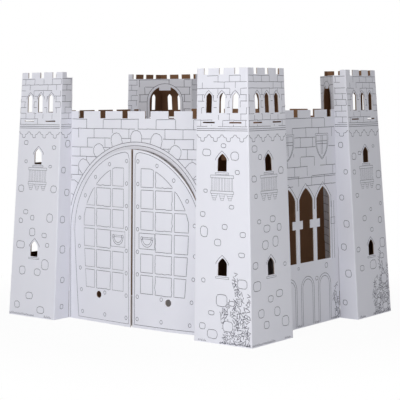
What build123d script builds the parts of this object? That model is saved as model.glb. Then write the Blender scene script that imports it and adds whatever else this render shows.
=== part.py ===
from build123d import *
import os
from math import cos, radians, sin, sqrt

# Cardboard play castle: four folded corner towers and four crenellated walls.
# Millimetres. Origin on the floor at the centre of the yard. +Z is up, -Y is the
# door side, +X is the right-hand side as seen from the doors.

# ---------------------------------------------------------------- overall sizes
CARD = 4.0                 # thickness of the corrugated board
TOWER_HEIGHT = 1150.0
HALF_LENGTH = 660.0        # centre to the tower's side face, at the tower top
HALF_DEPTH = 510.0         # centre to the tower's front or back face, at the top
FLARE = 60.0               # how far each outer face stands out at the foot
WALL_DROP = 180.0          # wall top below the tower top
WALL_HEIGHT = TOWER_HEIGHT - WALL_DROP

# ---------------------------------------------------------------- tower plan
FACE_TOP = 264.0           # width of an outer face at the top
FACE_FOOT = 304.0
STRIP_TOP = 68.0           # depth of the short side strips at the top
STRIP_FOOT = 100.0
FOLD_RADIUS = 4.0          # outside rounding of a folded edge
GLUE_FLAP = 30.0           # flap that closes the folded tube, glued inside a face

# ---------------------------------------------------------------- battlements
TOWER_NOTCH_DEPTH = 25.0
TOWER_NOTCH = 24.0
TOWER_CORNER_MERLON = 42.0
TOWER_MERLON = 56.0
STRIP_MERLON = 30.0        # the end merlon carried round onto the strip
WALL_NOTCH_DEPTH = 33.0
WALL_NOTCH = 32.0
WALL_PITCH = 135.0
END_MERLON = 25.0          # least width of a wall's last merlon

# ---------------------------------------------------------------- tower openings
# The upper openings keep their distance from the tower top.
HEAD_BULGE = 0.08          # swell of a pointed head, as a share of its slope
LANCET_WIDTH = 30.0
LANCET_HEIGHT = 84.0
LANCET_SILL = TOWER_HEIGHT - 185.0
LANCET_PLACES = (0.245, 0.5, 0.755)    # shares of the face width
SLOT_LENGTH = 63.0
SLOT_HEIGHT = 6.0
SLOT_LEVEL = TOWER_HEIGHT - 225.0
SLOT_MARGIN = 35.0
WINDOW_WIDTH = 47.0
WINDOW_HEIGHT = 74.0
UPPER_WINDOW_SILL = TOWER_HEIGHT - 428.0
LOWER_WINDOW_SILL = 287.0
ARCH_WIDTH = 160.0         # opening in the face towards the yard
ARCH_SILL = TOWER_HEIGHT - 390.0
ARCH_SPRING = TOWER_HEIGHT - 142.0
KEY_WIDTH = 59.0           # square key that hangs into the arch head
KEY_DROP = 22.0

# ---------------------------------------------------------------- doorway
DOOR_MARGIN = 8.0          # crease to the tower's fold, where the wall is narrowest
DOOR_HEADROOM = 170.0      # doorway's crown to the top of the wall
DOOR_RADIUS = HALF_LENGTH - FACE_TOP - DOOR_MARGIN
DOOR_SPRING = WALL_HEIGHT - DOOR_HEADROOM - DOOR_RADIUS
DOOR_KERF = 1.0            # width removed by the cutting rule
LEFT_AJAR = 4.5            # degrees
RIGHT_BEND = 8.0           # degrees at the right-hand crease
RIGHT_BEND_RUN = 110.0     # straight part beside the crease
RIGHT_BEND_RADIUS = 700.0
FINGER_HOLE = 32.0
FINGER_HOLE_REACH = 178.0  # from the crease to the hole's centre
FINGER_HOLE_LEVEL = 129.0

# ---------------------------------------------------------------- side windows
PANES = 3
MULLION = 30.0
PANE_MARGIN = 52.5         # outer light to the tower's fold, where the wall is narrowest
PANE_WIDTH = (2.0 * (HALF_DEPTH - FACE_TOP - PANE_MARGIN) - (PANES - 1) * MULLION) / PANES
PANE_SILL = 289.0
PANE_HEIGHT = 334.0
CAPITAL_OVERHANG = 25.5    # capital beyond each side of its mullion
CAPITAL_WIDTH = MULLION + 2.0 * CAPITAL_OVERHANG
CAPITAL_HEIGHT = 37.0
CAPITAL_LEVEL = 459.0

# ---------------------------------------------------------------- hooked joints
SLIT_HEIGHT = 330.0        # slit up from the tower's foot
SLIT_CLEARANCE = 2.0       # each side of the wall in the slit
TAB_FOOT = 125.0           # the slit stays open below this level
TAB_TOP = 450.0
TAB_REACH = 60.0
END_CLEARANCE = 0.4        # wall end to the tower's fold, and slit top to tab
HOOK_CLEARANCE = 1.3       # hook to the inside of the tower's board

CUT = 40.0                 # overrun of a cutting solid
SQRT2 = sqrt(2.0)
FACINGS = {"front": (0, -1), "back": (0, 1), "right": (1, 0), "left": (-1, 0)}


def share(level):
    """Share of the way down from the tower top to the floor."""
    return 1.0 - level / TOWER_HEIGHT


def face_width(level):
    return FACE_TOP + (FACE_FOOT - FACE_TOP) * share(level)


def strip_depth(level):
    return STRIP_TOP + (STRIP_FOOT - STRIP_TOP) * share(level)


def half_length(level):
    return HALF_LENGTH + FLARE * share(level)


def half_depth(level):
    return HALF_DEPTH + FLARE * share(level)


def pentagon(level, inset):
    """Plan of a tower at one level, for the corner where x and y are positive."""
    far_x = half_length(level)
    far_y = half_depth(level)
    wide = face_width(level)
    deep = strip_depth(level)
    slack = inset * (SQRT2 - 1.0)
    return [
        (far_x - inset, far_y - inset, level),
        (far_x - wide + inset, far_y - inset, level),
        (far_x - wide + inset, far_y - deep + slack, level),
        (far_x - deep + slack, far_y - wide + inset, level),
        (far_x - inset, far_y - wide + inset, level),
    ]


def flat_face(points):
    return make_face(Polyline(*points, close=True))


def prismoid(lower, upper):
    """Solid between two outlines with matching corners."""
    return loft([flat_face(lower), flat_face(upper)], ruled=True)


def pointed(width, height):
    """Opening with a pointed head at 45 degrees, standing on the middle of its sill."""
    half = width / 2.0
    spring = height - half
    swell = HEAD_BULGE * half * SQRT2
    sill = Polyline((-half, spring), (-half, 0), (half, 0), (half, spring))
    right = SagittaArc((half, spring), (0, height), -swell)
    left = SagittaArc((0, height), (-half, spring), -swell)
    return make_face(sill + right + left)


def round_headed(radius, spring):
    """Round-headed opening, standing on the middle of its sill."""
    legs = Polyline((-radius, spring), (-radius, 0), (radius, 0), (radius, spring))
    head = ThreePointArc((radius, spring), (0, spring + radius), (-radius, spring))
    return make_face(legs + head)


def cutter(plane, outline):
    return extrude(plane * outline, CUT, both=True)


def outer_face_plane(along_x):
    """Leaning plane of an outer tower face, from the foot of the outer corner."""
    foot_corner = Vector(half_length(0), half_depth(0), 0)
    lean = FLARE / TOWER_HEIGHT
    if along_x:
        return Plane(foot_corner, x_dir=(-1, 0, 0), z_dir=(0, 1, lean))
    return Plane(foot_corner, x_dir=(0, 1, 0), z_dir=(1, 0, lean))


def yard_face_plane():
    """Plane of the tower face towards the yard, from the middle of its foot."""
    foot = (pentagon(0, 0)[2], pentagon(0, 0)[3])
    top = (pentagon(TOWER_HEIGHT, 0)[2], pentagon(TOWER_HEIGHT, 0)[3])
    middle = (Vector(*foot[0]) + Vector(*foot[1])) / 2.0
    above = (Vector(*top[0]) + Vector(*top[1])) / 2.0
    along = (Vector(*foot[1]) - Vector(*foot[0])).normalized()
    return Plane(middle, x_dir=along, z_dir=along.cross(above - middle))


def on_face(level, place):
    """Distance from the foot of the outer corner to a share of the face width."""
    return FLARE * (1.0 - share(level)) + place * face_width(level)


def outer_face_cuts(along_x):
    """Openings of one outer face; its plane's x axis runs to or from the corner."""
    plane = outer_face_plane(along_x)
    sign = 1.0 if along_x else -1.0
    cuts = []
    for place in LANCET_PLACES:
        at = Pos(sign * on_face(LANCET_SILL, place), LANCET_SILL)
        cuts.append(cutter(plane, at * pointed(LANCET_WIDTH, LANCET_HEIGHT)))
    for sill in (UPPER_WINDOW_SILL, LOWER_WINDOW_SILL):
        at = Pos(sign * on_face(sill, 0.5), sill)
        cuts.append(cutter(plane, at * pointed(WINDOW_WIDTH, WINDOW_HEIGHT)))
    near = on_face(SLOT_LEVEL, 0.0) + SLOT_MARGIN + SLOT_LENGTH / 2.0
    far = on_face(SLOT_LEVEL, 1.0) - SLOT_MARGIN - SLOT_LENGTH / 2.0
    for middle in (near, far):
        slot = Pos(sign * middle, SLOT_LEVEL) * Rectangle(SLOT_LENGTH, SLOT_HEIGHT)
        cuts.append(cutter(plane, slot))
    floor = TOWER_HEIGHT - TOWER_NOTCH_DEPTH
    pitch = TOWER_MERLON + TOWER_NOTCH
    room = FACE_TOP - TOWER_CORNER_MERLON + TOWER_MERLON - STRIP_MERLON
    for number in range(int(room / pitch)):
        start = TOWER_CORNER_MERLON + number * pitch
        middle = on_face(TOWER_HEIGHT, 0.0) + start + TOWER_NOTCH / 2.0
        notch = Pos(sign * middle, floor + CUT / 2.0) * Rectangle(TOWER_NOTCH, CUT)
        cuts.append(extrude(plane * notch, STRIP_MERLON / 2.0, both=True))
    return cuts


def yard_face_cuts():
    plane = yard_face_plane()
    opening = Pos(0, ARCH_SILL) * round_headed(ARCH_WIDTH / 2.0, ARCH_SPRING - ARCH_SILL)
    crown = ARCH_SPRING + ARCH_WIDTH / 2.0
    key = Pos(0, crown - KEY_DROP + CUT / 2.0) * Rectangle(KEY_WIDTH, CUT)
    return [cutter(plane, opening - key)]


def wall_plane(facing):
    """Middle plane of a wall, from the middle of its foot, facing outwards."""
    lean = (FLARE - (STRIP_FOOT - STRIP_TOP)) / TOWER_HEIGHT
    out_x, out_y = FACINGS[facing]
    foot_x = out_x * (half_length(0) - strip_depth(0))
    foot_y = out_y * (half_depth(0) - strip_depth(0))
    return Plane((foot_x, foot_y, 0), x_dir=(-out_y, out_x, 0), z_dir=(out_x, out_y, lean))


def half_width(along_x, level):
    """Half the distance between the two towers' folds that a wall runs between."""
    reach = half_length(level) if along_x else half_depth(level)
    return reach - face_width(level)


def slit_cut(along_x, towards):
    """Slit for a wall's tab; towards is the end of the wall, +1 or -1."""
    low = towards * half_width(along_x, 0)
    high = towards * half_width(along_x, SLIT_HEIGHT)
    depth = towards * (CARD * (0.5 + SQRT2) + HOOK_CLEARANCE + CARD)
    back = -towards * CARD
    outline = [(low + back, -CARD), (low + depth, -CARD),
               (high + depth, SLIT_HEIGHT), (high + back, SLIT_HEIGHT)]
    plane = wall_plane("back" if along_x else "right")
    face = plane * make_face(Polyline(*outline, close=True))
    return extrude(face, CARD / 2.0 + SLIT_CLEARANCE, both=True)


def glue_flap():
    """Flap folded from the strip and glued inside the face it meets."""
    def outline(level):
        far_x = half_length(level) - face_width(level)
        far_y = half_depth(level)
        return [(far_x + CARD / 2.0, far_y - CARD / 2.0, level),
                (far_x + CARD + GLUE_FLAP, far_y - CARD / 2.0, level),
                (far_x + CARD + GLUE_FLAP, far_y - 2.0 * CARD, level),
                (far_x + CARD / 2.0, far_y - 2.0 * CARD, level)]
    return prismoid(outline(0), outline(TOWER_HEIGHT))


def tower():
    """Tower for the corner where x and y are positive."""
    outside = prismoid(pentagon(0, 0), pentagon(TOWER_HEIGHT, 0))
    folds = [edge for edge in outside.edges() if edge.length > TOWER_HEIGHT - 1.0]
    outside = fillet(folds, FOLD_RADIUS)
    hollow = prismoid(pentagon(0, CARD), pentagon(TOWER_HEIGHT, CARD))
    sheet = outside - hollow + glue_flap()
    cuts = outer_face_cuts(True) + outer_face_cuts(False)
    cuts += yard_face_cuts()
    cuts += [slit_cut(True, -1), slit_cut(False, 1)]
    floor = TOWER_HEIGHT - TOWER_NOTCH_DEPTH
    inner = pentagon(TOWER_HEIGHT, 0)
    low_x = inner[1][0] - CUT
    low_y = inner[4][1] - CUT
    yard_side = Box(inner[0][0] - STRIP_MERLON - low_x, inner[0][1] - STRIP_MERLON - low_y, CUT,
                    align=(Align.MIN, Align.MIN, Align.MIN))
    cuts.append(Pos(low_x, low_y, floor) * yard_side)
    return sheet - cuts


def wall_outline(along_x):
    """Flat outline of a wall sheet with its battlements and hooked ends."""
    def fold(level):
        return half_width(along_x, level) - END_CLEARANCE

    hook = CARD * (0.5 + SQRT2) + HOOK_CLEARANCE + END_CLEARANCE
    notch_floor = SLIT_HEIGHT - END_CLEARANCE
    side = [(fold(-CARD), -CARD), (fold(TAB_FOOT), TAB_FOOT), (fold(TAB_FOOT) + TAB_REACH, TAB_FOOT),
            (fold(TAB_TOP) + TAB_REACH, TAB_TOP), (fold(TAB_TOP) + hook, TAB_TOP),
            (fold(notch_floor) + hook, notch_floor), (fold(notch_floor), notch_floor),
            (fold(WALL_HEIGHT), WALL_HEIGHT)]
    mirrored = [(-x, y) for x, y in reversed(side)]
    sheet = make_face(Polyline(*(side + mirrored), close=True))
    middle = WALL_HEIGHT - WALL_NOTCH_DEPTH + CUT / 2.0
    room = 2.0 * (fold(WALL_HEIGHT) - END_MERLON) - WALL_NOTCH
    notches = int(room / WALL_PITCH) + 1
    first = -WALL_PITCH * (notches - 1) / 2.0
    for number in range(notches):
        sheet -= Pos(first + number * WALL_PITCH, middle) * Rectangle(WALL_NOTCH, CUT)
    return sheet


def sheet_solid(outline):
    return extrude(outline, CARD / 2.0, both=True)


def stand(facing, solid):
    """Wall in its place, leaning like the towers' folds and trimmed at the floor."""
    return split(wall_plane(facing) * solid, bisect_by=Plane.XY, keep=Keep.TOP)


def wall_panes():
    """Three pointed lights with capitals on the mullions between them."""
    panes = Sketch()
    pitch = PANE_WIDTH + MULLION
    for number in range(PANES):
        across = (number - (PANES - 1) / 2.0) * pitch
        panes += Pos(across, PANE_SILL) * pointed(PANE_WIDTH, PANE_HEIGHT)
    for number in range(PANES - 1):
        across = (number - (PANES - 2) / 2.0) * pitch
        panes -= Pos(across, CAPITAL_LEVEL) * Rectangle(CAPITAL_WIDTH, CAPITAL_HEIGHT)
    return panes


def door_outline():
    """One door leaf, flat, with its crease on x = 0 and its free edge on the right."""
    leaf_radius = DOOR_RADIUS - DOOR_KERF
    leaf = Pos(DOOR_RADIUS, 0) * round_headed(leaf_radius, DOOR_SPRING)
    free_edge = DOOR_RADIUS - DOOR_KERF
    leaf &= Pos(free_edge / 2.0, DOOR_RADIUS) * Rectangle(free_edge, 2.0 * TOWER_HEIGHT)
    leaf += Pos(DOOR_KERF, DOOR_SPRING / 2.0) * Rectangle(2.0 * DOOR_KERF, DOOR_SPRING)
    return leaf - Pos(FINGER_HOLE_REACH, FINGER_HOLE_LEVEL) * Circle(FINGER_HOLE / 2.0)


def crease():
    rod = Cylinder(CARD / 2.0, DOOR_SPRING, align=(Align.CENTER, Align.CENTER, Align.MIN))
    return Rot(-90, 0, 0) * rod


def left_door():
    """Straight leaf, hinged on the left, standing ajar outwards."""
    leaf = sheet_solid(door_outline())
    return Pos(-DOOR_RADIUS, 0) * Rot(0, -LEFT_AJAR, 0) * leaf


def right_door():
    """Leaf that bows: it leaves the crease at an angle and straightens again."""
    bend = radians(RIGHT_BEND)
    first = (RIGHT_BEND_RUN * cos(bend), RIGHT_BEND_RUN * sin(bend))
    across = RIGHT_BEND_RADIUS * sin(bend)
    out = RIGHT_BEND_RADIUS * (1.0 - cos(bend))
    second = (first[0] + across, first[1] + out)
    route = Line((0, 0, 0), (first[0], 0, first[1]))
    route += TangentArc((first[0], 0, first[1]), (second[0], 0, second[1]),
                        tangent=(cos(bend), 0, sin(bend)))
    route += Line((second[0], 0, second[1]), (DOOR_RADIUS + CARD, 0, second[1]))
    section = Plane((0, 0, 0), x_dir=(0, 1, 0), z_dir=(cos(bend), 0, sin(bend)))
    band = sweep(section * Rectangle(2.0 * TOWER_HEIGHT, CARD), path=route)
    leaf = band & extrude(door_outline(), CUT, both=True)
    return mirror(leaf, about=Plane.YZ).moved(Location((DOOR_RADIUS, 0, 0)))


def front_wall():
    sheet = wall_outline(True)
    below = 2.0 * CARD
    sheet -= Pos(0, -below) * round_headed(DOOR_RADIUS, DOOR_SPRING + below)
    solid = sheet_solid(sheet)
    for side in (-1, 1):
        solid += Pos(side * DOOR_RADIUS, 0) * crease()
    solid += left_door()
    solid += right_door()
    return stand("front", solid)


def side_wall(facing):
    return stand(facing, sheet_solid(wall_outline(False) - wall_panes()))


def back_wall():
    return stand("back", sheet_solid(wall_outline(True)))


def main():
    corner = tower()
    pieces = {
        "back_right_tower": corner,
        "front_right_tower": mirror(corner, about=Plane.XZ),
        "back_left_tower": mirror(corner, about=Plane.YZ),
        "front_left_tower": Rot(0, 0, 180) * corner,
        "front_wall": front_wall(),
        "right_wall": side_wall("right"),
        "left_wall": side_wall("left"),
        "back_wall": back_wall(),
    }
    os.makedirs("parts", exist_ok=True)
    for name, shape in pieces.items():
        export_step(shape, f"parts/{name}.step")
        print(name, "solids", len(shape.solids()), "volume", round(shape.volume))


main()
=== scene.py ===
"""Looks of a printed cardboard play castle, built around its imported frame.

Metres. +Z is up, -Y is the door side and +X is the right-hand side seen from the
doors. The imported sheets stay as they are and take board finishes. Every line of the
print is a thin inked ribbon of its own that lies on the outside of a sheet.
"""

import logging
import math
import random
from dataclasses import dataclass
from enum import Enum
from typing import Callable, Sequence

import bpy
from mathutils import Matrix, Vector

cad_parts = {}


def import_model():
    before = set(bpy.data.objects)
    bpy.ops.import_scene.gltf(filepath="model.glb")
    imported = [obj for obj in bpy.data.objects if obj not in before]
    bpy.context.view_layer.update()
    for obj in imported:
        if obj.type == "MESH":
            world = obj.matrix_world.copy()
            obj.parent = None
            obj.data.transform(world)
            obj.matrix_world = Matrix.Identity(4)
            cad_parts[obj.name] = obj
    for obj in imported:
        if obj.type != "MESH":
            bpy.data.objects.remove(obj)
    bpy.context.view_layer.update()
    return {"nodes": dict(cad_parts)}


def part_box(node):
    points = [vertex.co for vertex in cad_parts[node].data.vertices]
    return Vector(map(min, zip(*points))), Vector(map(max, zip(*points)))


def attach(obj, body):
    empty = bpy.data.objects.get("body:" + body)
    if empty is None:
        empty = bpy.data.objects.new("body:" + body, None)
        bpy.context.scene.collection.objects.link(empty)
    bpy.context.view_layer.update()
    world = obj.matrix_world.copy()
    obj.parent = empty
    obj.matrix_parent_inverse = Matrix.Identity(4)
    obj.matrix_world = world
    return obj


LOG = logging.getLogger("castle")
BODY = "root"
UP = Vector((0.0, 0.0, 1.0))
Point = tuple[float, float]
Path = list[Point]
Colour = tuple[float, float, float, float]


# --------------------------------------------------------------------------- shader kit


class Wire:
    """A node's output that takes part in arithmetic as a number does."""

    def __init__(self, graph: "Graph", socket: bpy.types.NodeSocket) -> None:
        """Wraps one output socket.

        Args:
            graph: The graph that new nodes are added to.
            socket: The output socket to wrap.
        """
        self.graph = graph
        self.socket = socket

    def math(self, operation: str, *operands: "Wire | float", clamp: bool = False) -> "Wire":
        """Adds a Math node fed by this value first.

        Args:
            operation: Name of the Math node's operation.
            operands: The node's other inputs, in order.
            clamp: Whether the result is kept between 0 and 1.

        Returns:
            The node's result.
        """
        values = dict(enumerate((self, *operands)))
        settings = {"operation": operation, "use_clamp": clamp}
        return self.graph.node("ShaderNodeMath", settings, values)

    def __add__(self, other: "Wire | float") -> "Wire":
        """Sum."""
        return self.math("ADD", other)

    def __radd__(self, other: float) -> "Wire":
        """Sum, reflected."""
        return self.math("ADD", other)

    def __sub__(self, other: "Wire | float") -> "Wire":
        """Difference."""
        return self.math("SUBTRACT", other)

    def __rsub__(self, other: float) -> "Wire":
        """Difference, reflected."""
        return self.math("MULTIPLY_ADD", -1.0, other)

    def __mul__(self, other: "Wire | float") -> "Wire":
        """Product."""
        return self.math("MULTIPLY", other)

    def __rmul__(self, other: float) -> "Wire":
        """Product, reflected."""
        return self.math("MULTIPLY", other)

    def __abs__(self) -> "Wire":
        """Size without sign."""
        return self.math("ABSOLUTE")

    def highest(self, other: "Wire | float") -> "Wire":
        """The greater of two values."""
        return self.math("MAXIMUM", other)

    def over(self, limit: float, soft: float) -> "Wire":
        """Mask that rises from 0 to 1 as the value passes a limit.

        Args:
            limit: Value at which the mask is a half.
            soft: Width of the rise.

        Returns:
            The mask.
        """
        return self.math("MULTIPLY_ADD", 1.0 / soft, 0.5 - limit / soft, clamp=True)

    def wave(self, pitch: float) -> "Wire":
        """Sine of the value, between 0 and 1.

        Args:
            pitch: Length of one wave.

        Returns:
            The wave's height.
        """
        turn = self.math("MULTIPLY", 2.0 * math.pi / pitch)
        return turn.math("SINE") * 0.5 + 0.5


class Graph:
    """Node graph of a material or of the world."""

    def __init__(self, owner: bpy.types.Material | bpy.types.World) -> None:
        """Starts an empty graph.

        Args:
            owner: The material or world that the graph belongs to.
        """
        self.owner = owner
        self.owner.use_nodes = True
        self.tree = self.owner.node_tree
        self.tree.nodes.clear()

    @classmethod
    def of_material(cls, name: str) -> "Graph":
        """Empty graph of a new material."""
        return cls(bpy.data.materials.new(name))

    def node(self, kind: str, settings: dict | None = None, values: dict | None = None,
             out: str | int = 0) -> Wire | None:
        """Adds a node, sets it up and links it.

        Args:
            kind: Blender's name for the node type.
            settings: Properties set before the sockets are filled.
            values: Socket values or wires by socket identifier, name or index.
            out: Output wanted, by name or index.

        Returns:
            The wanted output, or None for a node without outputs.
        """
        node = self.tree.nodes.new(kind)
        for key, value in (settings or {}).items():
            setattr(node, key, value)
        for key, value in (values or {}).items():
            socket = next((s for s in node.inputs if s.identifier == key), None) or node.inputs[key]
            if isinstance(value, Wire):
                self.tree.links.new(value.socket, socket)
            else:
                socket.default_value = value
        return Wire(self, node.outputs[out]) if node.outputs else None

    def mix(self, factor: Wire | float, first: Wire | Colour, second: Wire | Colour) -> Wire:
        """Blends two colours.

        Args:
            factor: Share of the second colour.
            first: Colour at 0.
            second: Colour at 1.

        Returns:
            The blended colour.
        """
        values = {"Factor_Float": factor, "A_Color": first, "B_Color": second}
        return self.node("ShaderNodeMix", {"data_type": "RGBA"}, values, out=2)

    def parts(self, vector: Wire) -> list[Wire]:
        """The three numbers of a vector.

        Args:
            vector: The vector to take apart.

        Returns:
            Its X, Y and Z parts.
        """
        split = self.node("ShaderNodeSeparateXYZ", None, {"Vector": vector})
        return [Wire(self, socket) for socket in split.socket.node.outputs]

    def rays(self, *names: str) -> Wire:
        """Mask of the kinds of ray named.

        Args:
            names: Names of the Light Path node's outputs.

        Returns:
            1 for a ray of any of those kinds, else 0.
        """
        outputs = self.node("ShaderNodeLightPath").socket.node.outputs
        first, *others = [Wire(self, outputs[name]) for name in names]
        for other in others:
            first = first.highest(other)
        return first

    def place(self) -> Wire:
        """Position on the object, as a vector."""
        return self.node("ShaderNodeTexCoord", out="Object")

    def normal(self) -> Wire:
        """The surface's true normal, as a vector."""
        return self.node("ShaderNodeNewGeometry", out="True Normal")

    def noise(self, scale: float, detail: float = 2.0,
              stretch: tuple[float, float, float] = (1.0, 1.0, 1.0)) -> Wire:
        """Noise over the object, from 0 to 1.

        Args:
            scale: Cells per metre.
            detail: Octaves.
            stretch: How much finer the noise is along each axis.

        Returns:
            The noise value.
        """
        spot = self.node("ShaderNodeMapping", None, {"Vector": self.place(), "Scale": stretch})
        return self.node("ShaderNodeTexNoise", None, {"Vector": spot, "Scale": scale, "Detail": detail})

    def finish(self, colour: Wire | Colour, roughness: Wire | float, bump: Wire | None = None,
               relief: float = 0.0004, specular: float = 0.3) -> bpy.types.Material:
        """Closes the graph with a Principled shader.

        Args:
            colour: Base colour.
            roughness: Roughness.
            bump: Height from 0 to 1, or None.
            relief: Height in metres of a full bump.
            specular: Specular level.

        Returns:
            The material.
        """
        values = {"Base Color": colour, "Roughness": roughness, "Specular IOR Level": specular}
        if bump is not None:
            height = {"Height": bump, "Distance": relief, "Strength": 1.0}
            values["Normal"] = self.node("ShaderNodeBump", None, height)
        shader = self.node("ShaderNodeBsdfPrincipled", None, values)
        self.node("ShaderNodeOutputMaterial", None, {"Surface": shader})
        return self.owner


# --------------------------------------------------------------------------- the sheets


@dataclass(frozen=True)
class Castle:
    """Leaning planes that all of the castle's sheets share."""

    foot_x: float
    foot_y: float
    height: float
    flare: float = 0.060
    face_top: float = 0.264
    face_foot: float = 0.304
    strip_top: float = 0.068
    strip_foot: float = 0.100
    board: float = 0.004

    @classmethod
    def from_frame(cls) -> "Castle":
        """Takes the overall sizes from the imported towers."""
        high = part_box("back_right_tower")[1]
        return cls(high[0], high[1], high[2])

    def at(self, foot: float, top: float, level: float) -> float:
        """Size that runs evenly from the foot to the tower top."""
        return foot + (top - foot) * level / self.height

    def outer_x(self, level: float) -> float:
        """Distance of a side face from the middle of the yard."""
        return self.at(self.foot_x, self.foot_x - self.flare, level)

    def outer_y(self, level: float) -> float:
        """Distance of a front or back face from the middle of the yard."""
        return self.at(self.foot_y, self.foot_y - self.flare, level)

    def width(self, level: float) -> float:
        """Width of a tower's outer face."""
        return self.at(self.face_foot, self.face_top, level)

    def strip(self, level: float) -> float:
        """Depth of a tower's short strip."""
        return self.at(self.strip_foot, self.strip_top, level)

    def wall_distance(self, along_x: bool, level: float) -> float:
        """Distance of a wall's middle plane from the middle of the yard."""
        outer = self.outer_y(level) if along_x else self.outer_x(level)
        return outer - self.strip(level)

    def wall_half(self, along_x: bool, level: float) -> float:
        """Half the width of a wall between its towers' folds."""
        outer = self.outer_x(level) if along_x else self.outer_y(level)
        return outer - self.width(level)


class Face:
    """One flat panel seen from outside: u runs along it from its middle, v up its slope."""

    def __init__(self, edge: Callable[[float], tuple[Vector, Vector]], height: float,
                 outward: Vector) -> None:
        """Measures the panel.

        Args:
            edge: Gives the panel's two side points at a level.
            height: Level of the top.
            outward: Rough direction of the outside.
        """
        self.edge = edge
        self.sign = 1.0
        foot, top = self.middle(0.0), self.middle(height)
        self.slope = (top - foot).length / height
        self.along = UP.cross(outward).normalized()
        self.out = self.along.cross(top - foot).normalized()

    def middle(self, level: float) -> Vector:
        """Middle of the panel at a level."""
        left, right = self.edge(level)
        return (left + right) / 2.0

    def half(self, v: float) -> float:
        """Half the panel's width."""
        left, right = self.edge(v / self.slope)
        return (right - left).length / 2.0

    def point(self, u: float, v: float, lift: float) -> Vector:
        """Place in space of a spot on the panel.

        Args:
            u: Distance from the panel's middle.
            v: Distance up the slope.
            lift: Distance out from the surface.

        Returns:
            The place.
        """
        return self.middle(v / self.slope) + self.along * (self.sign * u) + self.out * lift


def tower_faces(castle: Castle, sign_x: int, sign_y: int) -> dict[str, Face]:
    """Panels of one tower.

    Args:
        castle: The castle's planes.
        sign_x: +1 for a right-hand tower, -1 for a left-hand one.
        sign_y: +1 for a back tower, -1 for a front one.

    Returns:
        The panels by name; u grows towards the outer corner on the two outer faces.
    """
    def spot(x: float, y: float, level: float) -> Vector:
        """Place in the tower's quarter of the castle."""
        return Vector((sign_x * x, sign_y * y, level))

    def corner(z: float) -> Vector:
        """Outer corner of the tower."""
        return spot(castle.outer_x(z), castle.outer_y(z), z)

    def fold_y(z: float) -> Vector:
        """Fold between the long face and its strip."""
        return spot(castle.outer_x(z) - castle.width(z), castle.outer_y(z), z)

    def fold_x(z: float) -> Vector:
        """Fold between the side face and its strip."""
        return spot(castle.outer_x(z), castle.outer_y(z) - castle.width(z), z)

    def joint_y(z: float) -> Vector:
        """Fold between the long face's strip and the yard face."""
        return spot(castle.outer_x(z) - castle.width(z), castle.outer_y(z) - castle.strip(z), z)

    def joint_x(z: float) -> Vector:
        """Fold between the side face's strip and the yard face."""
        return spot(castle.outer_x(z) - castle.strip(z), castle.outer_y(z) - castle.width(z), z)

    def panel(first: Callable, second: Callable, outward: tuple[float, float],
              towards: Callable | None = None) -> Face:
        """Panel between two folds, u growing towards the second named one if one is given."""
        face = Face(lambda z: (first(z), second(z)), castle.height, Vector((*outward, 0.0)))
        if towards is not None and (towards(0.0) - face.middle(0.0)).dot(face.along) < 0.0:
            face.sign = -1.0
        return face

    return {
        "long": panel(fold_y, corner, (0.0, sign_y), corner),
        "side": panel(fold_x, corner, (sign_x, 0.0), corner),
        "strip_long": panel(fold_y, joint_y, (-sign_x, 0.0), joint_y),
        "strip_side": panel(fold_x, joint_x, (0.0, -sign_y), joint_x),
        "yard": panel(joint_y, joint_x, (-sign_x, -sign_y)),
    }


def wall_face(castle: Castle, along_x: bool, sign: int) -> Face:
    """Outer panel of one wall.

    Args:
        castle: The castle's planes.
        along_x: Whether the wall runs along X.
        sign: Side of the yard that it stands on.

    Returns:
        The panel.
    """
    def edge(z: float) -> tuple[Vector, Vector]:
        """The wall's two ends at a level."""
        half = castle.wall_half(along_x, z)
        away = sign * (castle.wall_distance(along_x, z) + castle.board / 2.0)
        if along_x:
            return Vector((-half, away, z)), Vector((half, away, z))
        return Vector((away, -half, z)), Vector((away, half, z))

    outward = Vector((0.0, sign, 0.0)) if along_x else Vector((sign, 0.0, 0.0))
    return Face(edge, castle.height, outward)


# --------------------------------------------------------------------------- ink


class Head(Enum):
    """Shape of the top of a region kept clear of lines."""

    FLAT = "flat"
    POINTED = "pointed"
    ROUND = "round"


@dataclass(frozen=True)
class Zone:
    """Region kept clear of lines: a box that stands on the middle of its foot."""

    u: float
    v: float
    width: float
    height: float
    head: Head = Head.FLAT

    def covers(self, u: float, v: float) -> bool:
        """Whether a spot lies in the zone."""
        across = abs(u - self.u)
        half = self.width / 2.0
        if across > half or v < self.v:
            return False
        top = self.v + self.height
        if self.head is Head.POINTED:
            top -= across
        if self.head is Head.ROUND:
            top -= half - math.sqrt(half * half - across * across)
        return v <= top


@dataclass(frozen=True)
class Patch:
    """Round region kept clear of lines."""

    u: float
    v: float
    half_width: float
    half_height: float

    def covers(self, u: float, v: float) -> bool:
        """Whether a spot lies in the patch."""
        return ((u - self.u) / self.half_width) ** 2 + ((v - self.v) / self.half_height) ** 2 <= 1.0


def arc(u: float, v: float, radius: float, start: float, end: float, steps: int = 12) -> Path:
    """Points along an arc; angles in degrees from the right, turning up."""
    turns = [math.radians(start + (end - start) * step / steps) for step in range(steps + 1)]
    return [(u + radius * math.cos(turn), v + radius * math.sin(turn)) for turn in turns]


def ring(u: float, v: float, half_width: float, half_height: float, steps: int = 12) -> Path:
    """Closed oval."""
    turns = [2.0 * math.pi * step / steps for step in range(steps)]
    return [(u + half_width * math.cos(turn), v + half_height * math.sin(turn)) for turn in turns]


def box_path(u: float, v: float, width: float, height: float) -> Path:
    """Closed box that stands on the middle of its foot."""
    half = width / 2.0
    return [(u - half, v), (u + half, v), (u + half, v + height), (u - half, v + height)]


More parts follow.
